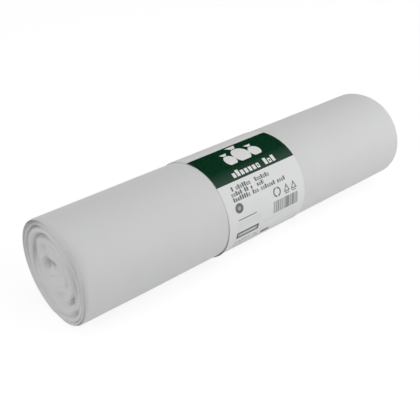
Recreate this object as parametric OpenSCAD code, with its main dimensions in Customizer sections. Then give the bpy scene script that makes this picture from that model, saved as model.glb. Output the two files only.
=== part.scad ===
// A coreless roll of folded film sacks, lying on its side, with a glued paper band round its middle.
// Millimetres. X runs along the roll and Z is up. The origin is the middle of the patch it rests on.
// The web of sacks is one long strip, wound outwards from a pinched hollow to its free tail.
// Directions round the roll are degrees from the front (-Y) over the top (90) to the back (180).

/* [Roll] */
// Length of the roll, which is the width of the sacks once folded
roll_l = 350; // [200:5:500]
// Width of the roll's section as it lies
roll_w = 86.8; // [70:0.2:110]
// Height of the section before its flat spot, a little less than the width from its own weight
roll_h = 82.4; // [68:0.2:108]
// Depth of the flat spot on which the soft roll rests
flat_d = 0.8; // [0.4:0.1:2.5]

/* [Winding] */
// Turns that show on the ends, each a bundle of folded film
turns = 6.5; // [5:0.1:8]
// Air between one turn and the next
turn_gap = 0.3; // [0.2:0.05:0.5]
// How much thicker the turns are midway than on average: 0 spaces them evenly
swell = 0.45; // [0:0.05:0.5]
// Thickness of the tail, the free outer end of the web
tail_t = 0.35; // [0.25:0.05:0.8]
// Direction in which the tail's edge lies
tail_at = 215; // [190:5:240]
// Length over which the web's inner end grows from the tail's thickness to a whole turn
start_l = 7; // [5:1:14]

/* [Core] */
// Length of the hollow's eye-shaped section
core_w = 18; // [14:0.5:24]
// Height of the hollow's section
core_h = 2.4; // [1.6:0.2:8]
// Tilt of the hollow's section
core_tilt = 30; // [0:1:60]
// How far the hollow's centre lies behind the roll's centre
core_back = 3.5; // [-4:0.5:5]
// How far the hollow's centre lies above the roll's centre
core_up = 6.5; // [-4:0.5:7]

/* [Ends] */
// Most that a fold edge bulges out past its turn's flat faces
edge_r = 1.8; // [0.8:0.1:3]
// Most that the fold edges stand back from the tail's, as the web wandered while it was wound
end_step = 1.2; // [0:0.1:3]
// Turns over which the web wanders in and out once
wander_turns = 2.1; // [0.6:0.01:3]
// Share of the way in from the rim over which the wander grows to its most
wander_in = 0.35; // [0.1:0.05:0.9]

/* [Paper band] */
// Width of the band along the roll
band_w = 86; // [50:1:140]
// Thickness of the paper
paper_t = 0.2; // [0.1:0.05:0.4]
// Air between the paper and the film
band_gap = 0.3; // [0.2:0.05:0.6]
// Length of the glued lap of the band's two ends
lap_l = 15; // [8:1:22]
// Direction of the cut edge that shows on the lap
lap_at = 138; // [130:1:145]
// Length over which the paper climbs onto the end that it laps
lap_ramp = 3; // [2:0.5:6]
// Length over which the film swells again beside the band's edges, on the flat spot
swell_l = 4; // [2:0.5:8]

/* [Hidden] */

// Steps round one turn of the web, and round the paper
web_steps = 40;
paper_steps = 144;
// Points across each fold edge
edge_pts = 5;

half_l = roll_l / 2;
half_w = roll_w / 2;
half_h = roll_h / 2;
mean_r = (half_w + half_h) / 2;
mean_core_r = (core_w + core_h) / 4;
// Height of the section's centre over the surface that the roll rests on
axis_z = half_h - flat_d;
// What the paper takes from the height of the film above the flat spot
band_lift = paper_t + band_gap;
// Share of the way out at which the last turn begins, so that the tail ends at the full size
last_m = 1 - (turn_gap + tail_t) / mean_r;
web_span = 360 * turns;
start_span = start_l / (core_w / 2) * 180 / PI;
lap_span = lap_l / mean_r * 180 / PI;
lap_ramp_span = lap_ramp / mean_r * 180 / PI;
// Stretch past the tail's edge over which the turn under it comes out to the full size
bridge_span = 40;

// Unit vector in the direction t, in the plane across the roll
function dir(t) = [-cos(t), sin(t)];

// Distance from the centre to an ellipse with semi-axes a and b, in the direction t
function ellipse_r(t, a, b) = a * b / sqrt(pow(b * cos(t), 2) + pow(a * sin(t), 2));

// Distance to the roll's outline grown by g, cut off flat at the depth floor_d under the centre
function outline_r(t, g, floor_d) =
    let (r = ellipse_r(t, half_w, half_h) + g, down = -sin(t))
    down * r > floor_d ? floor_d / down : r;

// Distance to the eye of the hollow, grown on all sides by what is wound on it
function eye_r(t, laid_on) = ellipse_r(t - core_tilt, core_w / 2 + laid_on, core_h / 2 + laid_on);

// Centre of the loop at the share m of the way from the hollow (0) to the outside (1)
function loop_centre(m) = (1 - m) * [core_back, core_up];

// Distance from that centre to the loop, over the depth floor_d of the flat spot: the grown eye blends into
// the outline, shrunk to the same mean size, so that the loops become rounder on their way out
function loop_r(m, t, floor_d) =
    let (laid_on = m * (mean_r - mean_core_r))
    (1 - m * m) * eye_r(t, laid_on) + m * m * outline_r(t, 0, floor_d) * (mean_core_r + laid_on) / mean_r;

// Point of the loop m in the direction t, moved out by g
function loop_pt(m, t, g, floor_d) = loop_centre(m) + (loop_r(m, t, floor_d) + g) * dir(t);

// Share of the way out that the web's outer face has reached after winding through u degrees
function out_m(u) =
    let (part = (u + 360) / web_span, past_tail = u + 360 - web_span)
    past_tail < 0 ? last_m * (part - swell * sin(360 * part) / (2 * PI))
                  : last_m + (1 - last_m) * min(1, past_tail / bridge_span);

// Direction in which the web lies after winding through u degrees
function web_at(u) = tail_at + u - web_span;

// How far the fold edges stand back after winding through u degrees: hardly at all near the rim
function stand_back(u) =
    end_step * min(1, (1 - out_m(u)) / wander_in) * (1 - cos((web_span - u) / wander_turns)) / 2;

// Ring of points round the web's section after winding through u degrees
function web_ring(u) =
    let (t = web_at(u),
         outer = loop_pt(out_m(u), t, 0, axis_z),
         under = loop_pt(out_m(u), t, 0, axis_z - band_lift),
         within = loop_pt(out_m(u - 360), t, turn_gap, axis_z),
         grown = min(1, u / start_span),
         thin = outer - tail_t * dir(t),
         inner = (1 - grown) * thin + grown * within,
         middle = (inner + outer) / 2,
         half = (outer - inner) / 2,
         edge = min(edge_r, norm(half)),
         side_x = half_l - edge - stand_back(u),
         edge_turn = 180 / (edge_pts - 1))
    concat(
        [for (i = [0:edge_pts - 1]) let (a = i * edge_turn - 90)
            point(-side_x - edge * cos(a), middle + half * sin(a))],
        [point(-band_w / 2 - swell_l, outer), point(-band_w / 2, under),
         point(band_w / 2, under), point(band_w / 2 + swell_l, outer)],
        [for (i = [0:edge_pts - 1]) let (a = 90 - i * edge_turn)
            point(side_x + edge * cos(a), middle + half * sin(a))]);

// Point at x along the roll, and at p across it from the section's centre
function point(x, p) = [x, p[0], p[1] + axis_z];

// The wound web: rings of points along the spiral, joined to the next ring and closed at both ends
module bag_roll() {
    rings = [for (i = [0:turns * web_steps]) web_ring(i * 360 / web_steps)];
    n = len(rings[0]);
    last = len(rings) - 1;
    sides = [for (i = [0:last - 1], j = [0:n - 1])
        [i * n + j, (i + 1) * n + j, (i + 1) * n + (j + 1) % n, i * n + (j + 1) % n]];
    start_cap = [for (j = [0:n - 1]) j];
    tail_cap = [for (j = [n - 1:-1:0]) last * n + j];
    color([0.80, 0.81, 0.80])
        polyhedron(points = [for (ring = rings) each ring], faces = concat(sides, [start_cap, tail_cap]));
}

// Sheets of paper in the direction t: two on the glued lap, easing to one where it climbs
function sheets(t) =
    let (past_cut = t - lap_at)
    past_cut < lap_span ? 2 : max(1, 2 - (past_cut - lap_span) / lap_ramp_span);

// Point of the taut paper in the direction t, at the distance g from the film and floor_d under the centre
function paper_pt(t, g, floor_d) = outline_r(t, g, floor_d) * dir(t);

// The band: one strip of paper round the roll, its ends glued one over the other
module paper_band() {
    turn = [for (i = [0:paper_steps]) lap_at + i * 360 / paper_steps];
    outside = [for (t = turn)
        paper_pt(t, band_gap + paper_t * (t == lap_at + 360 ? 1 : sheets(t)), axis_z)];
    inside = [for (t = turn) paper_pt(t, band_gap, axis_z - paper_t)];
    color([0.90, 0.91, 0.91])
        translate([-band_w / 2, 0, axis_z]) rotate([90, 0, 90])
            linear_extrude(band_w) difference() {
                polygon(outside);
                polygon(inside);
            }
}

bag_roll();
paper_band();
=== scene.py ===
# %% [markdown]
# # A roll of bin bags
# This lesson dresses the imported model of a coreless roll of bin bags: one long web of folded, milky film,
# wound on itself and held by a printed paper band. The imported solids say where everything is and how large.
# Two new surfaces take their places here, with the fine plies, soft edges and finishes that a camera sees.
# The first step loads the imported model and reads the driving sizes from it, in millimetres, so that the
# surfaces follow the model if it changes. The values that no corner of a box gives are named beside them.

# %% Frame and sizes
import math

import bpy
import numpy as np
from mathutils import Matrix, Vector


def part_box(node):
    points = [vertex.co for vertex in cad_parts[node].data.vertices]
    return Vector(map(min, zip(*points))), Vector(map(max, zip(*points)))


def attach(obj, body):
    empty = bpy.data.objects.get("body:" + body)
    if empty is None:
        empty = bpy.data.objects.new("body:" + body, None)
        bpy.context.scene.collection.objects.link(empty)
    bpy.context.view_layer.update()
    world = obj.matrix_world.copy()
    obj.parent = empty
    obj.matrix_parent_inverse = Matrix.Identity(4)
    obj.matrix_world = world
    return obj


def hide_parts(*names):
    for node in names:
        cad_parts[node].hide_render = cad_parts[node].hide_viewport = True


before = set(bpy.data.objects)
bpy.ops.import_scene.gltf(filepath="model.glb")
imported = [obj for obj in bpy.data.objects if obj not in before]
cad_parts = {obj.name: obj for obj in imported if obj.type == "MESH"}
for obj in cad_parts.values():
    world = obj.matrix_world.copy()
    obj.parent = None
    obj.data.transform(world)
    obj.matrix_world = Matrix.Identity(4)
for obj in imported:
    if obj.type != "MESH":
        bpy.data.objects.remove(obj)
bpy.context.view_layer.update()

MM = 0.001


def high_corner(node):
    """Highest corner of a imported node's box, in millimetres."""
    _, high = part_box(node)
    return np.array(high) / MM


film_high = high_corner("bag_roll")
band_high = high_corner("paper_band")

FLAT_D = 0.8
HALF_L = film_high[0]
HALF_W = film_high[1]
HALF_H = (film_high[2] + FLAT_D) / 2
MEAN_R = (HALF_W + HALF_H) / 2
AXIS_Z = HALF_H - FLAT_D
BAND_HALF = band_high[0]
PAPER_T = 0.2
BAND_GAP = 0.3
print(f"roll {2 * HALF_L:.1f} long, {2 * HALF_W:.1f} x {2 * HALF_H:.1f} across")
print(f"band {2 * BAND_HALF:.1f} wide")

# %% [markdown]
# ## The winding
# A roll without a core begins as a pinched loop, and each turn wraps the one before it. Where the loop lies
# is a blend: at share 0 it is the thin tilted eye of the hollow, which grows rounder as turns are laid on
# it, at share 1 the squashed oval of the outside, and the winding angle decides the share. One could model
# a few rings by hand, but a formula of the angle keeps every turn the same distance from the next and can
# be asked for any point. The functions here take whole arrays of angles at once. Directions round the roll
# are degrees from the front (-Y) over the top (90) to the back (180).

# %% Directions and easing
def cosd(t):
    """Cosine of an angle in degrees."""
    return np.cos(np.radians(t))


def sind(t):
    """Sine of an angle in degrees."""
    return np.sin(np.radians(t))


def outward(t):
    """Unit vector across the roll in the direction t: minus the cosine along Y, the sine along Z."""
    return np.stack([-cosd(t), sind(t)], axis=-1)


def polar(yz):
    """Direction of points across the roll, and their distance from its axis."""
    return np.degrees(np.arctan2(yz[..., 1], -yz[..., 0])), np.hypot(yz[..., 0], yz[..., 1])


def ease(x):
    """0 below 0, 1 above 1, and 3 x squared minus 2 x cubed between."""
    x = np.clip(x, 0, 1)
    return x * x * (3 - 2 * x)


def hump(t, centre, width):
    """1 at a direction, falling off on both sides as a bell: exp of minus the squared distance in widths."""
    away = (t - centre + 180) % 360 - 180
    return np.exp(-((away / width) ** 2))


print(f"halfway round to the top: {outward(45).round(3)}")

# %% Loops from the hollow to the outside
TURNS = 6.5
# How much fatter the turns are midway than on average
SWELL = 0.45
# The tail: its direction, its thickness, and how far in from the full size the turn under it lies
TAIL_AT = 215
TAIL_T = 0.2
TAIL_STEP = 0.25
# Length in which the web's inner end grows to a whole turn's thickness
START_L = 7
CORE_W = 18
CORE_H = 2.4
CORE_TILT = 30
CORE_CENTRE = np.array([3.5, 6.5])
# Degrees past the tail's edge in which the turn under it comes out to full size
BRIDGE_SPAN = 40

CORE_R = (CORE_W + CORE_H) / 4
WEB_SPAN = 360 * TURNS
LAST_SHARE = 1 - TAIL_STEP / MEAN_R
START_SPAN = math.degrees(START_L / (CORE_W / 2))


def ellipse_r(t, a, b):
    """Distance to an ellipse: a times b over the length of (b cos t, a sin t)."""
    return a * b / np.hypot(b * cosd(t), a * sind(t))


def outline_r(t, grown, floor_d):
    """Distance to the roll's oval plus grown, but no lower than floor_d under the centre."""
    down = np.maximum(-sind(t), 1e-6)
    return np.minimum(ellipse_r(t, HALF_W, HALF_H) + grown, floor_d / down)


def loop_r(share, t, floor_d):
    """The eye grown on all sides and the outline shrunk to the same mean size, blended by share squared."""
    laid_on = (MEAN_R - CORE_R) * share
    eye = ellipse_r(t - CORE_TILT, CORE_W / 2 + laid_on, CORE_H / 2 + laid_on)
    oval = outline_r(t, 0, floor_d) * (CORE_R + laid_on) / MEAN_R
    return (1 - share**2) * eye + share**2 * oval


def loop_point(share, t, grown, floor_d):
    """The loop's centre, which drifts to the roll's own, plus its distance along the direction t."""
    r = loop_r(share, t, floor_d) + grown
    return (1 - share)[..., None] * CORE_CENTRE + r[..., None] * outward(t)


def share_at(u):
    """Share of the way out after u degrees of winding: an even pitch less a sine that fattens mid turns."""
    part = (u + 360) / WEB_SPAN
    wound = LAST_SHARE * (part - SWELL * sind(360 * part) / (2 * math.pi))
    bridged = LAST_SHARE + (1 - LAST_SHARE) * np.clip((u + 360 - WEB_SPAN) / BRIDGE_SPAN, 0, 1)
    return np.where(part < 1, wound, bridged)


print(f"{TURNS} turns, the last one {1 - share_at(np.array(WEB_SPAN - 360.0)):.3f} of the way deep")

# %% [markdown]
# ## Meshes from grids
# Both surfaces are grids of points: rows along the strip, columns round its section, so that each row is a
# closed ring. A helper hands such a grid to Blender in one call, closes the two ends of the strip with a
# flat face, and stores a UV map that is measured on the strip itself. It also sums the volume under the
# faces, which comes out positive only when every face looks outwards. A second helper stores a number on
# each point or face, which a material can read.

# %% Grid to mesh
MM3_IN_CM3 = 1000


def signed_volume(points, quads):
    """Sum over each quad's two triangles of the triple product of its corners, over six."""
    a, b, c, d = (points[quads[:, k]] for k in range(4))
    first = np.einsum("ij,ij->i", a, np.cross(b, c))
    second = np.einsum("ij,ij->i", a, np.cross(c, d))
    return (first.sum() + second.sum()) / 6


def grid_quads(rows, columns):
    """Corners (i, j), (i, j+1), (i+1, j+1), (i+1, j) of every cell, the last column joined to the first."""
    i, j = np.meshgrid(np.arange(rows - 1), np.arange(columns), indexing="ij")
    after = (j + 1) % columns
    cells = [i * columns + j, i * columns + after, (i + 1) * columns + after, (i + 1) * columns + j]
    return np.stack(cells, axis=-1).reshape(-1, 4)


def strip_piece(name, grid, uv, uv_name, sharp_deg):
    """A closed strip: grid is rows x columns x 3 in millimetres, uv is rows x columns x 2 in metres."""
    rows, columns = grid.shape[:2]
    points = grid.reshape(-1, 3)
    quads = grid_quads(rows, columns)
    first_cap = np.arange(columns)[::-1]
    last_cap = (rows - 1) * columns + np.arange(columns)
    mesh = bpy.data.meshes.new(name)
    mesh.from_pydata((points * MM).tolist(), [], [*quads.tolist(), first_cap.tolist(), last_cap.tolist()])
    corner_of = np.zeros(len(mesh.loops), np.int32)
    mesh.loops.foreach_get("vertex_index", corner_of)
    layer = mesh.uv_layers.new(name=uv_name)
    layer.data.foreach_set("uv", uv.reshape(-1, 2)[corner_of].astype(np.float32).ravel())
    mesh.shade_smooth()
    mesh.set_sharp_from_angle(angle=math.radians(sharp_deg))
    mesh.validate()
    piece = bpy.data.objects.new(name, mesh)
    bpy.context.scene.collection.objects.link(piece)
    volume = signed_volume(points, quads) / MM3_IN_CM3
    print(f"{name}: {rows} x {columns} points, {2 * len(quads)} triangles, {volume:.1f} cm3")
    return piece


def add_mark(piece, name, domain, values):
    """Stores one number for each point or face of a piece."""
    mark = piece.data.attributes.new(name, "FLOAT", domain)
    mark.data.foreach_set("value", values.astype(np.float32).ravel())


def distance_run(line):
    """How far along a line each of its points lies: the running sum of the steps between them."""
    steps = np.linalg.norm(np.diff(line, axis=0), axis=1)
    return np.concatenate([[0], np.cumsum(steps)])


print("a grid of 3 x 4 points has", len(grid_quads(3, 4)), "cells")

# %% [markdown]
# ## The ends of the web
# The ends are what makes a roll look wound. On the real roll they are thousands of film edges. Where the
# winding was tight they are pressed into one quiet surface, where it ran slack they fan out with grooves
# between them, and here and there a bundle has slipped inwards and left a dip. Modelling every edge would
# be endless, and a bump map would stay flat at the rim. So the end is a landscape: short lists say where
# the winding is slack and where the dips are, by direction and distance from the axis (a ridge is a dip of
# less than nothing), and every turn is split into plies whose edges are small bulges that drift in and
# out. The drift is a sum of sines with seeded phases, so it is the same on every run.

# %% Slack places and dips
# Places: direction, distance from the axis, reach round, reach across, and the slackness or a dip's depth
SLACK = np.array([
    [160, 40.8, 46, 0.8, 1.0],
    [140, 36.6, 50, 0.9, 1.0],
    [112, 30.0, 36, 1.2, 1.0],
    [200, 30.5, 30, 0.8, 0.6],
    [178, 22.5, 30, 0.8, 0.5],
    [-30, 41.3, 36, 0.6, 1.0],
    [-26, 38.6, 36, 0.6, 1.0],
    [-16, 35.0, 34, 0.9, 0.9],
    [-30, 25.5, 18, 1.4, 1.0],
    [15, 30.0, 30, 0.8, 0.5],
    [-72, 33.5, 26, 0.7, 0.6],
    [60, 21.0, 34, 0.8, 0.4],
    [-90, 20.0, 40, 0.8, 0.35],
])
DIPS = np.array([
    [167, 27.6, 25, 3.6, 3.4],
    [137, 29.6, 12, 2.0, 1.2],
    [111, 29.2, 18, 1.5, 2.6],
    [141, 9.0, 36, 4.6, 3.4],
    [160, 37.3, 36, 1.4, 1.8],
    [123, 39.5, 24, 1.0, 2.4],
    [120, 35.8, 20, 0.9, 2.2],
    [-32, 25.8, 17, 1.7, 2.1],
    [-38, 33.5, 11, 2.0, 2.4],
    [4, 17.7, 18, 2.0, 1.6],
    [5, 29.0, 30, 2.4, 1.8],
    [120, 20.5, 16, 2.6, 1.4],
    [-56, 16.5, 26, 2.4, 1.0],
    [25, 35.4, 22, 2.2, 1.4],
    [62, 24.0, 7, 9.0, -0.9],
])


def landscape(places, yz):
    """Sum of bells: strength times a bell in direction times a bell in distance from the axis."""
    t, distance = polar(yz)
    total = np.zeros(distance.shape)
    for at, middle, reach, width, strength in places:
        total += strength * hump(t, at, reach) * np.exp(-(((distance - middle) / width) ** 2))
    return total


print(f"{len(SLACK)} slack places, {len(DIPS)} dips and ridges, the deepest {DIPS[:, 4].max():.1f} mm")

# %% The rounded rims
# Rims: least radius, how much more where the rim is rubbed, the middle of that place, its reach
NEAR_RIM = (1.5, 9.0, 46, 33)
FAR_RIM = (2.0, 5.0, 108, 34)
# Share of a rim's radius in which the squeeze fades with the depth
SQUEEZE_DEPTH = 1.2


def rim_radius(t, rim):
    """Radius of the rounded rim: small all round, and much larger where hands rubbed the roll."""
    least, more, at, reach = rim
    return least + more * hump(t, at, reach)


def round_fall(radius, inset):
    """Fall of a round edge at an inset, down to 45 degrees: radius less the root of radius^2 - rest^2."""
    rest = np.clip(radius - inset, 0, radius * math.sqrt(0.5))
    return radius - np.sqrt(radius**2 - rest**2)


def under_skin(yz):
    """Direction of each point and how deep it lies under the roll's outline."""
    t, distance = polar(yz)
    return t, np.maximum(outline_r(t, 0, AXIS_Z) - distance, 0)


def squeezed(yz, inset, rim):
    """Points moved inwards by the rim's fall at their inset, less the deeper they lie, down to nothing."""
    t, depth = under_skin(yz)
    radius = rim_radius(t, rim)
    moved = round_fall(radius, inset) * np.clip(1 - depth / (SQUEEZE_DEPTH * radius), 0, 1)
    return yz * (1 - moved / np.hypot(yz[..., 0], yz[..., 1]))[..., None]


print(f"rim radius {NEAR_RIM[0]} mm, and {NEAR_RIM[0] + NEAR_RIM[1]} mm where it is rubbed")

# %% Fold edges
PLIES = 8
# Where the points across a ply lie, as shares of it
PLY_STEPS = np.array([0.03, 0.25, 0.5, 0.75, 0.97])
# The web's wander: how far it stands back at most, in how many turns, and the depth over which that grows
END_STEP = 1.2
WANDER_TURNS = 2.1
WANDER_DEPTH = 0.35
# The plies' drift: its size, its cycles per turn, what keeps most of it inwards, and a seed for each end
PLY_DRIFT = 0.12
DRIFT_CYCLES = [0.37, 0.9, 1.7, 3.1]
DRIFT_IN = 1.2
NEAR_SEED = 3
FAR_SEED = 8
# Grooves between plies: their depth, what slackness adds, and how thick a web has room for all of it
PLY_GROOVE = 0.10
SLACK_GROOVE = 1.5
FULL_ROOM = 2.0
# Painted shade: the depth of dip that is painted darkest, and how dark a slack groove is painted beside it
DARKEST_DIP = 4
GROOVE_SHADE = 0.8

across = ((np.arange(PLIES)[:, None] + PLY_STEPS) / PLIES).ravel()
ply_of = np.repeat(np.arange(PLIES), len(PLY_STEPS))
in_ply = np.tile(PLY_STEPS, PLIES)


def drift(u, columns, cycles, seed):
    """For each column a sum of sines of the winding angle, with cycles per turn and seeded phases."""
    phases = np.random.default_rng(seed).uniform(0, 2 * math.pi, (columns, len(cycles)))
    sines = np.sin(np.radians(u)[:, None, None] * np.array(cycles) + phases)
    return sines.sum(axis=-1) / math.sqrt(len(cycles))


def stand_back(u):
    """How far the web stands back: half of 1 minus a slow cosine, grown with the depth in the roll."""
    grown = np.minimum(1, (1 - share_at(u)) / WANDER_DEPTH)
    return END_STEP * grown * (1 - cosd((WEB_SPAN - u) / WANDER_TURNS)) / 2


def end_depth(u, yz, thickness, rim, seed):
    """How far each point of the end lies inside the roll's length, and its painted shade by how deep in a dip
    or groove it is.
    """
    through = u[:, None] - 360 * (1 - across)
    room = np.minimum(1, thickness / FULL_ROOM)[:, None]
    slack = np.clip(landscape(SLACK, yz), 0, 1)
    bulge = 1 - np.sqrt(1 - (2 * in_ply - 1) ** 2)
    groove = (PLY_GROOVE + SLACK_GROOVE * slack) * bulge
    moved = PLY_DRIFT * np.maximum(drift(u, PLIES, DRIFT_CYCLES, seed)[:, ply_of] + DRIFT_IN, 0)
    dipped = landscape(DIPS, yz)
    t, skin_depth = under_skin(yz)
    depth = stand_back(through) + round_fall(rim_radius(t, rim), skin_depth)
    # Painted shade: a darker colour in dips and slack grooves, standing for the shade that falls in them
    shade = np.clip(dipped / DARKEST_DIP + slack * bulge * GROOVE_SHADE, 0, 1)
    return np.maximum(depth + room * (groove + moved) + dipped, 0), shade


print(f"{len(across)} points across each end, {PLIES} plies a turn")

# %% [markdown]
# ## The body of the web
# Between its ends the outermost turn is the large quiet surface of the roll. It isn't a perfect oval: the
# film eases over the rim, lies in shallow waves over the plies beneath, and is pressed flat where it rests.
# The outer face gets columns at named places along the roll, closer together near the rims and beside the
# band, and the waves are a few long sines of the winding angle and the length. In the middle of the ends
# the innermost turns are pinched together, so the hollow closes a few millimetres in.

# %% The section of the web
# Air under a turn: where the winding is tight, and what slackness adds
TIGHT_GAP = 0.03
SLACK_GAP = 0.25
# Pinch: the way in that it takes, how nearly it closes, below what place along the eye wholly, how softly
PINCH_L = 4.0
PINCH_SHARE = 0.95
CLOSED_BELOW = 7.5
CLOSING_L = 4
# Degrees of winding that the pinch takes in, and over which it fades out
PINCH_SPAN = 400
PINCH_FADE = 60


def pinched_wall(wall, u, part):
    """The hollow's wall pressed to the eye's long axis: by a part, and wholly at the eye's lower end."""
    from_centre = wall - CORE_CENTRE
    long_way = outward(np.array(CORE_TILT))
    along = from_centre @ long_way
    closed = np.maximum(part, ease((CLOSED_BELOW - along) / CLOSING_L))
    pressed = ease((PINCH_SPAN - u) / PINCH_FADE) * PINCH_SHARE * closed
    return wall + pressed[:, None] * (along[:, None] * long_way - from_centre)


def web_section(u, t):
    """Inner and outer point of the web: outside on its own loop, inside with air on the turn beneath."""
    outer = loop_point(share_at(u), t, 0, AXIS_Z)
    bed = loop_point(share_at(u - 360), t, 0, AXIS_Z)
    air = TIGHT_GAP + SLACK_GAP * np.clip(landscape(SLACK, bed), 0, 1)
    grown = np.minimum(1, u / START_SPAN)[:, None]
    inner = (1 - grown) * (outer - TAIL_T * outward(t)) + grown * (bed + air[:, None] * outward(t))
    return pinched_wall(inner, u, 0), outer


print(f"the pinch closes {PINCH_SHARE:.0%} of the hollow over {PINCH_L} mm")

# %% The outer face
BAND_SWELL_L = 4.0
BAND_LIFT = PAPER_T + BAND_GAP
# Columns: distances from the rim, then places along the roll
RIM_STEPS = np.array([0, 0.7, 1.6, 2.8, 4.5, 7, 11, 20])
BODY_X = np.array([140, 120, 100, 80, 60, BAND_HALF + BAND_SWELL_L, BAND_HALF, 20])
# Waves: their height, a seed, and for each its length along the roll and its cycles round it
WAVE_H = 0.10
WAVE_SEED = 11
WAVES = [(150, 2), (90, 3), (62, 5), (240, 1), (47, 7)]
# Calm under the band: how much, how far past the band's edge it begins, and over what length it sets in
CALM = 0.8
CALM_PAST = 6
CALM_L = 8
# Degrees of winding in view, and over which the waves set in there
OUTSIDE_SPAN = 400
OUTSIDE_FADE = 40
# Height over the floor where the waves begin, and over what height they grow to the full
WAVE_CLEAR = 1
WAVE_FADE = 12


def waves(u, x):
    """Shallow waves: products of long sines of the length and of the angle, calm under the band."""
    rng = np.random.default_rng(WAVE_SEED)
    total = np.zeros(np.broadcast(u, x).shape)
    for length, cycles in WAVES:
        turn_phase, x_phase = rng.uniform(0, 2 * math.pi, 2)
        along = np.sin(2 * math.pi * x / length + x_phase)
        total += along * np.sin(np.radians(u) * cycles + turn_phase) / cycles**0.5
    calm = 1 - CALM * ease((BAND_HALF + CALM_PAST - np.abs(x)) / CALM_L)
    return WAVE_H * calm * total


def above_floor(t, clear, fade):
    """0 where the outside is no more than clear over the floor, and 1 from a height of fade over that."""
    return ease((AXIS_Z + sind(t) * HALF_H - clear) / fade)


def outer_face(u, t, face_x):
    """The outer loop at each x: waves where it shows, lifted off the flat spot by the band, round rims."""
    share = np.broadcast_to(share_at(u)[:, None], face_x.shape)
    ring = np.broadcast_to(t[:, None], face_x.shape)
    shown = ease((u - WEB_SPAN + OUTSIDE_SPAN) / OUTSIDE_FADE)[:, None]
    grown = shown * above_floor(ring, WAVE_CLEAR, WAVE_FADE) * waves(u[:, None], face_x)
    lift = BAND_LIFT * ease((BAND_HALF + BAND_SWELL_L - np.abs(face_x)) / BAND_SWELL_L)
    yz = loop_point(share, ring, grown, AXIS_Z - lift)
    near, far = (squeezed(yz, HALF_L - np.abs(face_x), rim) for rim in (NEAR_RIM, FAR_RIM))
    return np.where((face_x < 0)[..., None], near, far)


print(f"{2 * (len(RIM_STEPS) + len(BODY_X)) + 1} columns along the outer face")

# %% Wound film
RINGS_PER_TURN = 100
# Places of the columns on the hollow's wall, inwards from its edge
WALL_STEPS = np.array([0, 1.5, 4.0])
# How far the outer face and the wall begin behind the deeper of the two ends
SIDE_CLEAR = 0.2
# Angle from which edges are sharp
FILM_SHARP_DEG = 40


def web_uv(grid, face_x):
    """Along the web the distance run by the middle of its face; across it the unfolded section."""
    middle = grid[:, len(WALL_STEPS) + len(across) + face_x.shape[1] // 2]
    ply_v = HALF_L + (1 - across) * PLIES
    wall_v = HALF_L + PLIES + WALL_STEPS
    column_v = np.concatenate([-wall_v[::-1], -ply_v, face_x[-1], ply_v[::-1], wall_v])
    return np.stack(np.broadcast_arrays(distance_run(middle)[:, None], column_v[None, :]), axis=-1) * MM


def film_grid():
    """Rows along the winding; columns up the near end, along the outer face and down the far end."""
    u = np.linspace(0, WEB_SPAN, int(TURNS * RINGS_PER_TURN) + 1)
    t = TAIL_AT + u - WEB_SPAN
    inner, outer = web_section(u, t)
    thickness = np.linalg.norm(outer - inner, axis=1)
    across_yz = inner[:, None] + (outer - inner)[:, None] * across[None, :, None]
    near_yz, far_yz = (squeezed(across_yz, 0, rim) for rim in (NEAR_RIM, FAR_RIM))
    near_depth, near_shade = end_depth(u, near_yz, thickness, NEAR_RIM, NEAR_SEED)
    far_depth, far_shade = end_depth(u, far_yz, thickness, FAR_RIM, FAR_SEED)
    side_x = HALF_L - (np.maximum(near_depth, far_depth) + SIDE_CLEAR)

    steady_x = np.broadcast_to(BODY_X, (len(u), len(BODY_X)))
    half_x = np.concatenate([side_x[:, -1:] - RIM_STEPS, steady_x], axis=1)
    face_x = np.concatenate([-half_x, np.zeros((len(u), 1)), half_x[:, ::-1]], axis=1)
    face_yz = outer_face(u, t, face_x)

    wall_x = side_x[:, :1] - WALL_STEPS
    wall_yz = np.stack([pinched_wall(inner, u, step / PINCH_L) for step in WALL_STEPS], axis=1)
    near_wall, far_wall = (squeezed(wall_yz, HALF_L - wall_x, rim) for rim in (NEAR_RIM, FAR_RIM))
    near_x = near_depth - HALF_L
    far_x = HALF_L - far_depth[:, ::-1]
    x = np.concatenate([-wall_x[:, ::-1], near_x, face_x, far_x, wall_x], axis=1)
    yz = np.concatenate([near_wall[:, ::-1], near_yz, face_yz, far_yz[:, ::-1], far_wall], axis=1)
    grid = np.concatenate([x[..., None], yz + np.array([0, AXIS_Z])], axis=-1)
    grid[..., 2] = np.maximum(grid[..., 2], 0)

    flat_face = np.zeros_like(face_x)
    flat_wall = np.zeros_like(wall_x)
    # Painted shade for the colour: the ends' shade, and none on the wall or the outer face
    depth = np.concatenate([flat_wall, near_shade, flat_face, far_shade[:, ::-1], flat_wall], axis=1)
    side = np.ones((len(u), len(WALL_STEPS) + len(across)))
    fold_edge = np.concatenate([side, flat_face, side], axis=1)
    return grid, web_uv(grid, face_x), depth, fold_edge


film_points, film_uv, film_painted_shade, film_fold_edge = film_grid()
film = strip_piece("wound_film", film_points, film_uv, "web", FILM_SHARP_DEG)
# The "depth" mark holds painted shade: the film's colour is darker where it is high
add_mark(film, "depth", "POINT", film_painted_shade)
add_mark(film, "fold_edge", "POINT", film_fold_edge)
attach(film, "root")
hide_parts("bag_roll")

# %% [markdown]
# ## The paper band
# The band is one strip of paper, wrapped once round the roll and glued where its ends overlap on the back.
# A tube would hide that, so the strip is followed along its whole length: it starts under the lap, goes
# down the front and under the roll, comes up the back, climbs onto its own start and ends in a cut edge.
# It has real thickness, so the section is a thin closed ring: the outer face one way, the inner face back.
# Paper that was cut and handled doesn't lie dead flat: its edges hug the film over the top and stand off it
# low on the front. Nor is it wrapped quite square, so towards the glued lap it leans to one side.

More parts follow.
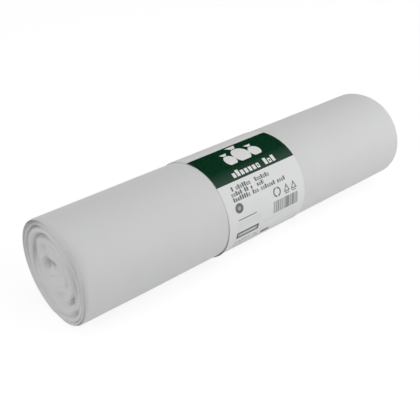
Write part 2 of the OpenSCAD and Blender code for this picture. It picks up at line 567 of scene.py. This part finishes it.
# %% How the paper lies
# The glued lap: its length, the direction of its cut edge, the way up onto it, and the glue's thickness
LAP_L = 15.0
LAP_AT = 138.0
LAP_RAMP = 3.0
GLUE_T = 0.01
LAP_SPAN = math.degrees(LAP_L / MEAN_R)
RAMP_SPAN = math.degrees(LAP_RAMP / MEAN_R)
# Lean along the roll: at the start, how much in all, from what direction on, and over how many degrees
LEAN_START = 0.3
LEAN = 3.4
LEAN_FROM = 50
LEAN_SPAN = 70
# Edges: how far in from them the paper bends, how close they hug, from what direction, over what degrees
CURL_L = 5.0
HUG = 0.18
HUG_FROM = -10
HUG_SPAN = 40
# Curl of the near and far edge: how far it stands off, the middle of that place, its reach
NEAR_CURL = (0.60, -45, 30)
FAR_CURL = (0.16, -30, 30)
# Soft waves: their height, their cycles round the roll, and the length along it that shifts them a radian
SOFT_WAVES = [(0.030, 5, 11), (0.024, 9, -7)]
# Height over the floor where the paper may stand off the film, and over what height that sets in
LIFT_CLEAR = 0.6
LIFT_FADE = 5
# The paper is free from just past the lap until it comes near the lap again
FREE_FROM = LAP_AT - 2
FREE_FADE = 10
HELD_FROM = LAP_AT - 336
HELD_FADE = 20


def paper_lean(t):
    """How far the strip has wandered along the roll: nothing low on the front, the most at the lap."""
    return LEAN_START - LEAN * ease((t - LEAN_FROM) / LEAN_SPAN)


def edge_curl(t, curl, inset):
    """One edge's stand-off less its hug, fading with the square of the way in from the edge."""
    most, at, reach = curl
    hug = HUG * ease((t - HUG_FROM) / HUG_SPAN)
    return (most * hump(t, at, reach) - hug) * np.clip(1 - inset / CURL_L, 0, 1) ** 2


def paper_lift(t, x):
    """How far the paper stands off its taut line: each edge's curl or hug, and long soft waves between."""
    lift = edge_curl(t, NEAR_CURL, BAND_HALF + x) + edge_curl(t, FAR_CURL, BAND_HALF - x)
    for height, cycles, length in SOFT_WAVES:
        lift = lift + height * (1 + np.sin(np.radians(cycles * t) + x / length))
    free = ease((FREE_FROM - t) / FREE_FADE) * (1 - ease((HELD_FROM - t) / HELD_FADE))
    return free * above_floor(t, LIFT_CLEAR, LIFT_FADE) * lift


print(f"lap {LAP_SPAN:.1f} degrees, lean {LEAN} mm")

# %% Band strip
BAND_STEP_DEG = 1.5
BAND_START = LAP_AT + LAP_SPAN
BAND_END = LAP_AT - 360
# Columns: distances from each cut edge
EDGE_X = np.array([0, 0.5, 1.2, 2.2, 3.5, 5.5, 9, 15, 23, 32])
BAND_X = np.concatenate([EDGE_X - BAND_HALF, [0], (BAND_HALF - EDGE_X)[::-1]])
# Angle from which edges are sharp
PAPER_SHARP_DEG = 50


def band_grid():
    """Rows along the strip; columns across its outer face from the near edge, then back across the inner."""
    steps = int((BAND_START - BAND_END) / BAND_STEP_DEG) + 1
    t = np.linspace(BAND_START, BAND_END, steps)[:, None]
    climb = ease((BAND_START - 360 + RAMP_SPAN - t) / RAMP_SPAN) * (PAPER_T + GLUE_T)
    base = BAND_GAP + climb + paper_lift(t, BAND_X[None, :])
    outer_r = outline_r(t, base + PAPER_T, AXIS_Z)
    inner_r = outline_r(t, base, AXIS_Z - PAPER_T)
    r = np.concatenate([outer_r, inner_r[:, ::-1]], axis=1)
    x = np.broadcast_to(np.concatenate([BAND_X, BAND_X[::-1]]), r.shape)
    yz = r[..., None] * outward(t)
    grid = np.concatenate([(x + paper_lean(t))[..., None], yz + np.array([0, AXIS_Z])], axis=-1)

    line = outline_r(t, BAND_GAP + PAPER_T, AXIS_Z) * outward(t[:, 0])
    run = distance_run(line)
    front = np.interp(0, -t[:, 0], run)
    uv = np.stack(np.broadcast_arrays(x, (front - run)[:, None]), axis=-1) * MM
    return grid[:, ::-1], uv[:, ::-1]


band_points, band_uv = band_grid()
band = strip_piece("paper_label", band_points, band_uv, "strip", PAPER_SHARP_DEG)

# The outer face's cells come after those of the inner face and a cut edge, and the two caps come last
printed_side = np.zeros(len(band.data.polygons))
printed_side[:-2].reshape(-1, band_points.shape[1])[:, len(BAND_X) : -1] = 1
add_mark(band, "outside", "FACE", printed_side)
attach(band, "root")
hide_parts("paper_band")
print(f"strip {(band_uv[0, 0, 1] - band_uv[-1, 0, 1]) / MM:.1f} long")
print(f"{int(printed_side.sum())} faces take print")

# %% [markdown]
# ## Writing materials as sums
# A material is a network of nodes, but most of it is plain arithmetic on masks. A small class stands for
# one output of a node, and its operators add the Math nodes, so a mask reads as a formula. Every other node
# comes from one method: it takes the kind of node, its settings, and what goes into its sockets.

# %% Sockets that calculate
class Socket:
    """One output of a node. Arithmetic on it adds Math nodes to the same tree."""

    def __init__(self, tree, output):
        self.tree = tree
        self.output = output

    def math(self, operation, *others, clamp=False):
        """One Math node on this value and the others."""
        settings = {"operation": operation, "use_clamp": clamp}
        return self.tree.add("Math", settings, dict(enumerate([self, *others])))

    def __add__(self, other):
        return self.math("ADD", other)

    def __sub__(self, other):
        return self.math("SUBTRACT", other)

    def __rsub__(self, other):
        return self.tree.add("Math", {"operation": "SUBTRACT"}, {0: other, 1: self})

    def __mul__(self, other):
        return self.math("MULTIPLY", other)

    def __truediv__(self, other):
        return self.math("DIVIDE", other)

    def __abs__(self):
        return self.math("ABSOLUTE")

    __radd__ = __add__
    __rmul__ = __mul__

    def squared(self):
        """The value times itself."""
        return self.math("POWER", 2)

    def least(self, other):
        """The smaller of two values, which joins two shapes given as distances."""
        return self.math("MINIMUM", other)

    def most(self, other):
        """The larger of two values, which keeps what two shapes given as distances share."""
        return self.math("MAXIMUM", other)

    def below(self, level, blur):
        """1 under the level and 0 over it, over an edge as wide as blur: a clamped straight line."""
        return self.math("MULTIPLY_ADD", -1 / blur, 0.5 + level / blur, clamp=True)

    def above(self, level, blur):
        """0 under the level and 1 over it, over an edge as wide as blur."""
        return self.math("MULTIPLY_ADD", 1 / blur, 0.5 - level / blur, clamp=True)


class Tree:
    """The node tree of a material or a world, emptied first."""

    def __init__(self, owner):
        owner.use_nodes = True
        self.nodes = owner.node_tree.nodes
        self.links = owner.node_tree.links
        self.nodes.clear()

    def add(self, kind, settings=None, inputs=None, output=0):
        """Adds a node, sets its settings, then fills its sockets with values or links."""
        node = self.nodes.new("ShaderNode" + kind)
        for name, value in (settings or {}).items():
            setattr(node, name, value)
        for name, value in (inputs or {}).items():
            if isinstance(value, Socket):
                self.links.new(value.output, node.inputs[name])
            else:
                node.inputs[name].default_value = value
        return Socket(self, node.outputs[output]) if node.outputs else None

    def mix(self, factor, colour_a, colour_b):
        """Colour a where the factor is 0 and colour b where it is 1."""
        sides = {0: factor, 6: colour_a, 7: colour_b}
        return self.add("Mix", {"data_type": "RGBA"}, sides, output=2)

    def mark(self, name):
        """A number that is stored on the piece's points or faces."""
        return self.add("Attribute", {"attribute_name": name}, {}, output="Fac")

    def place(self):
        """The place on the piece, in metres."""
        return self.add("TexCoord", {}, {}, output="Object")

    def stretched(self, vector, scale):
        """A place with each of its parts multiplied by one of the scale's."""
        return self.add("Mapping", {}, {"Vector": vector, "Scale": scale})

    def noise(self, vector, scale, detail=2.0, roughness=0.5):
        """Smooth noise around one half."""
        inputs = {"Vector": vector, "Scale": scale, "Detail": detail, "Roughness": roughness}
        return self.add("TexNoise", {}, inputs, output="Fac")

    def chance(self, cell):
        """A number from 0 to 1 that is as good as random, and the same each time for the same cell."""
        return self.add("TexWhiteNoise", {"noise_dimensions": "1D"}, {"W": cell}, output="Value")

    def bump(self, strength, distance, height):
        """A normal that leans as if the height, 0 to 1, rose by the distance in metres."""
        inputs = {"Strength": strength, "Distance": distance, "Height": height}
        return self.add("Bump", {}, inputs, output="Normal")

    def finish(self, inputs):
        """A Principled surface with these inputs, joined to the output."""
        surface = self.add("BsdfPrincipled", {}, inputs)
        self.add("OutputMaterial", {}, {"Surface": surface})


def rgb(red, green, blue):
    """A colour socket's value from three linear parts."""
    return (red, green, blue, 1.0)


print("a socket's value for red:", rgb(1, 0, 0))

# %% [markdown]
# ## Milky film
# The film is thin polyethylene, each ply almost clear, but dozens of plies scatter the light between them.
# The stack looks like milk glass: pale grey and satin, with only faint shade in its small grooves. Light
# that creeps under the surface would be the first choice, but the outer turns are thinner than the way it
# creeps, so it would leak through them and leave the rim dark. A plain Principled shader stands for the
# stack instead, and a stored attribute carries painted shade for each dip and groove: the film's colour
# is a darker grey there, standing for the shade that falls into them. A second attribute, 1 on the fold
# edges, gives the ends a closer grain along the plies, and faint streaks follow the web, read from its
# own UV map.

# %% Film material
BODY_DULL = rgb(0.735, 0.738, 0.738)
BODY_BRIGHT = rgb(0.80, 0.803, 0.803)
END_DULL = rgb(0.775, 0.778, 0.778)
END_BRIGHT = rgb(0.845, 0.848, 0.848)
# Painted shade: the grey towards which dips and grooves at the ends are darkened
PAINTED_SHADE_GREY = rgb(0.45, 0.453, 0.453)
# Grain: features to a metre along and across the web, and in all directions
STREAK_GRAIN = (14, 260, 1)
PLY_GRAIN = (22, 3400, 1)
CLOUD_GRAIN = 26.0
FINE_GRAIN = 900.0


def film_material():
    """Satin, milky film."""
    material = bpy.data.materials.new("milky_film")
    tree = Tree(material)
    web = tree.add("UVMap", {"uv_map": "web"})
    on_end = tree.mark("fold_edge")
    streaks = tree.noise(tree.stretched(web, STREAK_GRAIN), 1.0, 3.0)
    plies = tree.noise(tree.stretched(web, PLY_GRAIN), 1.0)
    clouds = tree.noise(tree.place(), CLOUD_GRAIN)
    fine = tree.noise(tree.place(), FINE_GRAIN)
    body = tree.mix(0.35 * streaks + 0.65 * clouds, BODY_DULL, BODY_BRIGHT)
    end = tree.mix(plies, END_DULL, END_BRIGHT)
    # Painted shade from the "depth" mark darkens the colour in dips and grooves
    colour = tree.mix(tree.mark("depth"), tree.mix(on_end, body, end), PAINTED_SHADE_GREY)
    height = 0.55 * clouds + 0.10 * streaks + 0.02 * fine + 0.10 * (plies * on_end)
    tree.finish({
        "Base Color": colour,
        "Roughness": 0.44 + 0.10 * clouds + 0.10 * fine,
        "Normal": tree.bump(0.35, 0.0006, height),
        "IOR": 1.5,
        "Specular IOR Level": 0.2,
    })
    return material


film.data.materials.append(film_material())
print("film nodes:", len(film.data.materials[0].node_tree.nodes))

# %% [markdown]
# ## Printed paper
# The band is smooth paper with a dark green panel and grey print. Real print is pictures and words; here
# they are plain shapes: blocks in rows for lines of writing, stripes, rings, boxes and tied sacks. An image
# would be the usual way, but a shape given as a signed distance, negative inside, stays sharp at any size
# and needs no file. The strip's UV map is its flat cut sheet: across the band one way, and the distance up
# from the front the other, so the print bends round the roll with the paper.

# %% Print shapes
INK_EDGE = 0.12
MM_IN_M = 1000
# Blur of a yes-or-no choice, and a distance in millimetres that takes a shape away
CRISP = 0.01
FAR_OFF = 10
# Letters as blocks, in shares of the line and of a cell: a low one, what a tall one adds, half the width
LOW_LETTER = 0.72
TALL_EXTRA = 0.28
LETTER_HALF = 0.36
# The hole in a letter, in the same shares: half its width, its height up, and half its own height
HOLE_HALF = 0.13
HOLE_UP = 0.36
HOLE_HALF_H = 0.15
# Chances: below the first there is a gap, from the second on no hole, from the third on a tall letter
GAP_BELOW = 0.12
SOLID_FROM = 0.5
TALL_FROM = 0.7
# A tied sack, in parts of its size: the belly's half sizes, how far it hangs, and its flat base
BELLY_W = 5.6
BELLY_H = 6.0
BELLY_DOWN = 1.6
BASE_DOWN = 6.4
# The neck's half width; the fan: where it begins to spread, how fast, its middle and half its height
NECK_HALF = 0.5
FAN_FROM = 3.6
FAN_SPREAD = 0.75
FAN_UP = 5.9
FAN_HALF_H = 2.1
TIE_UP = 4.5
TIE_HALF_H = 0.3


class Sheet:
    """The flat sheet in millimetres, with the shapes that can be printed on it as signed distances."""

    def __init__(self, tree):
        self.tree = tree
        flat = tree.add("UVMap", {"uv_map": "strip"})
        self.x = tree.add("SeparateXYZ", {}, {"Vector": flat}, output="X") * MM_IN_M
        self.y = tree.add("SeparateXYZ", {}, {"Vector": flat}, output="Y") * MM_IN_M

    def box(self, left, right, bottom, top):
        """Distance to a rectangle: the larger of the distances past its middle lines, less half its size."""
        wide = abs(self.x - (left + right) / 2) - (right - left) / 2
        high = abs(self.y - (bottom + top) / 2) - (top - bottom) / 2
        return wide.most(high)

    def disc(self, x, y, radius):
        """Distance to a circle: the distance from its centre less its radius."""
        return ((self.x - x).squared() + (self.y - y).squared()).math("SQRT") - radius

    def ring(self, x, y, radius, width):
        """Distance to a circle's line: how far off the radius, less half the line."""
        return abs(self.disc(x, y, radius)) - width / 2

    def writing(self, left, right, base, high, pitch, seed):
        """A line of writing as blocks: each cell has its own chance of a tall block, a hole or a gap."""
        place = (self.x - left) / pitch
        chance = self.tree.chance(place.math("FLOOR") + seed)
        off_middle = abs(place.math("FRACT") - 0.5)
        top = base + high * (LOW_LETTER + TALL_EXTRA * chance.above(TALL_FROM, CRISP))
        block = ((off_middle - LETTER_HALF) * pitch).most((base - self.y).most(self.y - top))
        hole_high = abs(self.y - (base + HOLE_UP * high)) - HOLE_HALF_H * high
        hole = ((off_middle - HOLE_HALF) * pitch).most(hole_high)
        block = block.most(0 - hole - chance.above(SOLID_FROM, CRISP) * FAR_OFF)
        ends = abs(self.x - (left + right) / 2) - (right - left) / 2
        return block.most(ends) + chance.below(GAP_BELOW, CRISP) * FAR_OFF

    def sack(self, x, size, middle_y):
        """A tied sack: a flat-bottomed oval, a neck and a fan above it, with a gap for the tie."""
        across_x = abs(x) / size
        up = (self.y - middle_y) / size
        from_middle = (across_x / BELLY_W).squared() + ((up + BELLY_DOWN) / BELLY_H).squared()
        belly = ((from_middle.math("SQRT") - 1) * BELLY_W).most(-BASE_DOWN - up)
        fan_wide = across_x - (up - FAN_FROM) * FAN_SPREAD - NECK_HALF
        fan = fan_wide.most(abs(up - FAN_UP) - FAN_HALF_H)
        tie = abs(up - TIE_UP) - TIE_HALF_H
        return belly.least(fan).most(0 - tie) * size


print("print edge", INK_EDGE, "mm wide")

# %% [markdown]
# Now the layout, in millimetres on the flat sheet: x from the band's middle, y up from the front. Shapes
# that share an ink are joined by taking the least of their distances, and one shape is cut out of another
# by taking the most of it and the other's distance turned round.

# %% Label layout
# Boxes: left, right, bottom, top
PANEL = (-50, 50, 36.6, 72.6)
RULE = (-33, -13.5, 5.3, 6.1)
BARS = (5.8, 34, -3.6, 7.3)
WINDOW = (-33, -11.6, -10.7, -7.2)
WINDOW_FRAME = (-34.4, -10.2, -12, -5.9)
BLOCK = (-3.4, 6, -22.6, -19.2)
FAINT_ROWS = [(-4.5, 33.7, -8.6, -5.6), (-33, -8, -1.8, 3.6)]
# Lines of writing: left, right, base, height, pitch, seed
TITLE = (-23.6, 24.5, 38.8, 6, 4.37, 5)
GREY_LINES = [
    (-34, 9.8, 29.6, 3.7, 2.3, 101),
    (-34, 1.3, 25.4, 3.5, 2.3, 211),
    (-34, 23.8, 21.1, 3.5, 2.3, 307),
]
WINDOW_LINE = (-31.4, -13, -9.6, 1.5, 2.2, 517)
TINTED_LINES = [
    (-34, -8, -18.6, 2.6, 1.9, 401),
    (-34, -6, -23, 2.6, 1.9, 433),
]
# Sacks: the middle one's x, how far off the small ones stand, and size and height for both kinds
SACK_X = 0.6
SMALL_SACKS_OFF = 13.4
BIG_SACK = (1.42, 59.2)
SMALL_SACK = (0.98, 56.6)
# A ring round a spot, and a broken ring: the middle, the line's radius and width, the spot or half the gap
MARK_AT = (-30.3, 15.4)
MARK_LINE = (2.9, 2.4)
MARK_SPOT = 1.7
BROKEN_AT = (11.3, 14.3)
BROKEN_LINE = (3.6, 1.3)
BROKEN_HALF = 0.55
# Two three-sided signs: their middle, how far off it they stand, the way the sides face, top and base
SIGNS_X = 26.4
SIGNS_OFF = 4.1
SIGN_SIDE = (0.894, 0.447)
SIGN_TOP = 17
SIGN_BASE = 11.6
SIGN_LINE_HALF = 0.45
# The line under each sign: its height up, half its width, half its thickness
UNDER_Y = 9.9
UNDER_HALF_W = 2.3
UNDER_HALF_H = 0.4


def white_shapes(sheet):
    """White on the panel: three tied sacks and a title under them."""
    big = sheet.sack(sheet.x - SACK_X, *BIG_SACK)
    small = sheet.sack(abs(sheet.x - SACK_X) - SMALL_SACKS_OFF, *SMALL_SACK)
    return big.least(small).least(sheet.writing(*TITLE))


def signs(sheet):
    """Two small three-sided signs with a short line under each."""
    middle = abs(sheet.x - SIGNS_X) - SIGNS_OFF
    side = abs(middle) * SIGN_SIDE[0] + (sheet.y - SIGN_TOP) * SIGN_SIDE[1]
    outline = abs(side.most(SIGN_BASE - sheet.y)) - SIGN_LINE_HALF
    under = (abs(middle) - UNDER_HALF_W).most(abs(sheet.y - UNDER_Y) - UNDER_HALF_H)
    return outline.least(under)


def grey_shapes(sheet):
    """Grey print: three lines of writing, two rings, a rule and the signs."""
    gap = abs(sheet.x - BROKEN_AT[0]) - BROKEN_HALF
    grey = sheet.ring(*BROKEN_AT, *BROKEN_LINE).most(0 - gap)
    grey = grey.least(sheet.ring(*MARK_AT, *MARK_LINE)).least(sheet.box(*RULE)).least(signs(sheet))
    for line in GREY_LINES:
        grey = grey.least(sheet.writing(*line))
    return grey


def dark_shapes(sheet):
    """Dark print: a frame round the window, and a block."""
    return sheet.box(*WINDOW_FRAME).most(0 - sheet.box(*WINDOW)).least(sheet.box(*BLOCK))


def tinted_shapes(sheet):
    """Paler print: the window with writing left out of it, the ring's spot, and two lines of writing."""
    tinted = sheet.box(*WINDOW).most(0 - sheet.writing(*WINDOW_LINE))
    tinted = tinted.least(sheet.disc(*MARK_AT, MARK_SPOT))
    for line in TINTED_LINES:
        tinted = tinted.least(sheet.writing(*line))
    return tinted


print(f"panel {PANEL[3] - PANEL[2]:.1f} mm high, {len(GREY_LINES)} lines of grey writing")

# %% [markdown]
# The paper itself is smooth and matt. Its fibres show as a very fine grain. Ink is never quite even: the
# green is mottled where it lies thinner, and small print is mixed with some of the paper's white. Towards
# the panel's lower edge the green is painted paler: a painted sheen, standing for a lamp's reflection. The
# specular level is nothing, because the paper shows no sheen of its own. The roughness, a little less on
# the ink, is there for viewers that leave the specular level out.

# %% Paper material
PAPER_DULL = rgb(0.875, 0.879, 0.879)
PAPER_BRIGHT = rgb(0.915, 0.918, 0.918)
GREEN_THICK = rgb(0.0035, 0.034, 0.0145)
GREEN_THIN = rgb(0.0095, 0.051, 0.0245)
# The paler green is a painted sheen, standing for a lamp's reflection low on the panel
GREEN_PAINTED_SHEEN = rgb(0.044, 0.084, 0.060)
# Height on the sheet where the green is halfway to its painted sheen, and over what height it changes
SHEEN_AT = 43.5
SHEEN_L = 11.0
# Inks and how much of the paper each covers
FAINT_INK = rgb(0.25, 0.28, 0.26)
FAINT_COVER = 0.10
TINTED_INK = rgb(0.20, 0.25, 0.22)
TINTED_COVER = 0.6
GREY_INK = rgb(0.07, 0.09, 0.078)
GREY_COVER = 0.85
DARK_INK = rgb(0.04, 0.06, 0.05)
DARK_COVER = 0.9
# Stripes: width, seed, how dark a pale one is, what a dark one adds, and from what chance one is dark
STRIPE_W = 0.62
STRIPE_SEED = 40
STRIPE_PALE = 0.34
STRIPE_EXTRA = 0.44
STRIPE_DARK_FROM = 0.55
# Grain: features to a metre
FIBRE_GRAIN = 1500.0
TONE_GRAIN = 60.0
MOTTLE_GRAIN = 480.0
FAINT_GRAIN = (900, 300, 900)


def stripes(tree, sheet):
    """The bars: cells across the box, each pale or dark by its own chance."""
    chance = tree.chance((sheet.x / STRIPE_W).math("FLOOR") + STRIPE_SEED)
    darkness = STRIPE_PALE + STRIPE_EXTRA * chance.above(STRIPE_DARK_FROM, 2 * CRISP)
    return sheet.box(*BARS).below(0, INK_EDGE) * darkness


def faint_print(tree, sheet):
    """Print too small to make out: two blurred boxes of uneven grey."""
    rows = sheet.box(*FAINT_ROWS[0]).least(sheet.box(*FAINT_ROWS[1]))
    uneven = tree.noise(tree.stretched(tree.place(), FAINT_GRAIN), 1.0, 1.0)
    return rows.below(0, 1.0) * FAINT_COVER * uneven


def green_ink_with_painted_sheen(tree, sheet):
    """The panel's green: mottled, with a painted sheen that makes it paler low down."""
    mottle = tree.noise(tree.place(), MOTTLE_GRAIN, 3.0, 0.6).above(0.55, 0.30)
    green = tree.mix(mottle, GREEN_THICK, GREEN_THIN)
    # Painted sheen: low on the panel the green is mixed towards a paler tone
    return tree.mix(sheet.y.below(SHEEN_AT, SHEEN_L), green, GREEN_PAINTED_SHEEN)


def paper_material():
    """Smooth white paper with its print."""
    material = bpy.data.materials.new("printed_paper")
    tree = Tree(material)
    sheet = Sheet(tree)
    outside = tree.mark("outside")
    fibres = tree.noise(tree.place(), FIBRE_GRAIN, 3.0)
    tone = tree.noise(tree.place(), TONE_GRAIN)

    unprinted = 1 - white_shapes(sheet).below(0, INK_EDGE)
    panel_mask = sheet.box(*PANEL).below(0, INK_EDGE) * unprinted * outside
    grey_mask = grey_shapes(sheet).below(0, INK_EDGE).most(stripes(tree, sheet)) * outside
    dark_mask = dark_shapes(sheet).below(0, INK_EDGE) * outside
    tinted_mask = tinted_shapes(sheet).below(0, INK_EDGE) * outside

    colour = tree.mix(tone, PAPER_DULL, PAPER_BRIGHT)
    colour = tree.mix(faint_print(tree, sheet) * outside, colour, FAINT_INK)
    colour = tree.mix(tinted_mask * TINTED_COVER, colour, TINTED_INK)
    colour = tree.mix(grey_mask * GREY_COVER, colour, GREY_INK)
    colour = tree.mix(dark_mask * DARK_COVER, colour, DARK_INK)
    colour = tree.mix(panel_mask, colour, green_ink_with_painted_sheen(tree, sheet))
    tree.finish({
        "Base Color": colour,
        "Roughness": 0.46 - 0.10 * panel_mask.most(dark_mask) + 0.06 * fibres,
        "Normal": tree.bump(0.25, 0.0002, 0.25 * fibres + 0.9 * tone),
        "IOR": 1.47,
        "Specular IOR Level": 0.0,
    })
    return material


band.data.materials.append(paper_material())
print("paper nodes:", len(band.data.materials[0].node_tree.nodes))

# %% [markdown]
# ## Floor and light
# A catalogue picture has a white ground and soft light from all round. A dim plain world gives the even
# part. A large soft lamp low at the front right makes the far half of the roll a little brighter than the
# near half, a weaker one on the left fills the end, one overhead lights the top, and a faint one low behind
# keeps the back from going dull. The camera doesn't see the lamps. The floor is a round patch that reaches
# as far as they keep it white: it shows itself white through its own faint glow, and keeps a soft shadow
# where the roll touches it.

# %% Floor
FLOOR_R = 1.2
FLOOR_DROP = 0.2
FLOOR_STEP_DEG = 5
FLOOR_MATT = rgb(0.80, 0.80, 0.80)
FLOOR_SHADOW = rgb(0.34, 0.34, 0.34)
FLOOR_GLOW = 0.80
WHITE = rgb(1, 1, 1)


def floor_piece():
    """One round face, a hair under the roll's flat spot, so that the two don't lie in one plane."""
    around = np.arange(0, 360, FLOOR_STEP_DEG)
    drop = np.full(len(around), -FLOOR_DROP * MM)
    rim = np.stack([FLOOR_R * cosd(around), FLOOR_R * sind(around), drop], axis=-1)
    mesh = bpy.data.meshes.new("studio_floor")
    mesh.from_pydata(rim.tolist(), [], [list(range(len(around)))])
    piece = bpy.data.objects.new("studio_floor", mesh)
    bpy.context.scene.collection.objects.link(piece)
    return piece


def seen_directly(tree):
    """1 for rays from the camera, from a mirror-like surface or through glass, 0 for light that bounces."""
    seen = tree.add("LightPath", {}, {}, output="Is Camera Ray")
    for kind in ("Is Glossy Ray", "Is Transmission Ray"):
        seen = seen.most(tree.add("LightPath", {}, {}, output=kind))
    return seen


def floor_material():
    """White to the eye with a faint shadow; a plain pale surface for the light it throws back."""
    material = bpy.data.materials.new("studio_white")
    tree = Tree(material)
    matt = tree.add("BsdfDiffuse", {}, {"Color": FLOOR_MATT})
    shadow_part = tree.add("BsdfDiffuse", {}, {"Color": FLOOR_SHADOW})
    glow = tree.add("Emission", {}, {"Color": WHITE, "Strength": FLOOR_GLOW})
    shown = tree.add("AddShader", {}, {0: shadow_part, 1: glow})
    surface = tree.add("MixShader", {}, {0: seen_directly(tree), 1: matt, 2: shown})
    tree.add("OutputMaterial", {}, {"Surface": surface})
    return material


floor = floor_piece()
floor.data.materials.append(floor_material())
print(f"floor {2 * FLOOR_R} m across")

# %% World and lamps
WORLD_LIGHT = 0.30
# Lamps: power in watts, place in metres
LAMPS = {
    "key_lamp": (8.4, (0.75, -0.95, 0.55)),
    "fill_lamp": (5.3, (-1.45, 0.15, 0.50)),
    "top_lamp": (4.8, (0.0, 0.0, 1.70)),
    "back_lamp": (1.8, (0.40, 1.50, 0.30)),
}
LAMP_SIZE = 1.3

world = bpy.data.worlds.new("studio_world")
bpy.context.scene.world = world
world_tree = Tree(world)
even = world_tree.add("Background", {}, {"Color": WHITE, "Strength": WORLD_LIGHT})
bright = world_tree.add("Background", {}, {"Color": WHITE, "Strength": 1.0})
sky = world_tree.add("MixShader", {}, {0: seen_directly(world_tree), 1: even, 2: bright})
world_tree.add("OutputWorld", {}, {"Surface": sky})

for name, (power, place) in LAMPS.items():
    lamp = bpy.data.lights.new(name, "AREA")
    lamp.energy = power
    lamp.size = LAMP_SIZE
    holder = bpy.data.objects.new(name, lamp)
    bpy.context.scene.collection.objects.link(holder)
    holder.location = place
    holder.rotation_euler = (-Vector(place)).to_track_quat("-Z", "Y").to_euler()
    holder.visible_camera = False
    print(f"{name}: {power} W at {place}")

# %% [markdown]
# ## Camera
# The camera stands where the photograph was taken from. Its place, its two angles and its focal length came
# from fitting the edges of an oval cylinder of the roll's size to the roll's outline. The fit gives the
# focal length in pixels, and the sensor's width turns that into the lens's millimetres.

# %% Camera
CAMERA_AT = (-0.3590, -0.3820, 0.3496)
CAMERA_AZIMUTH = -41.18
CAMERA_ELEVATION = 32.0
FOCAL_PX = 712.1
FRAME_PX = 420
SENSOR_MM = 36.0

camera_data = bpy.data.cameras.new("camera")
camera_data.sensor_width = SENSOR_MM
camera_data.lens = FOCAL_PX / FRAME_PX * SENSOR_MM
camera = bpy.data.objects.new("camera", camera_data)
bpy.context.scene.collection.objects.link(camera)
camera.location = CAMERA_AT
camera.rotation_euler = (math.radians(90 - CAMERA_ELEVATION), 0, math.radians(CAMERA_AZIMUTH))
bpy.context.scene.camera = camera
bpy.context.scene.view_settings.view_transform = "Standard"
print(f"lens {camera_data.lens:.2f} mm")
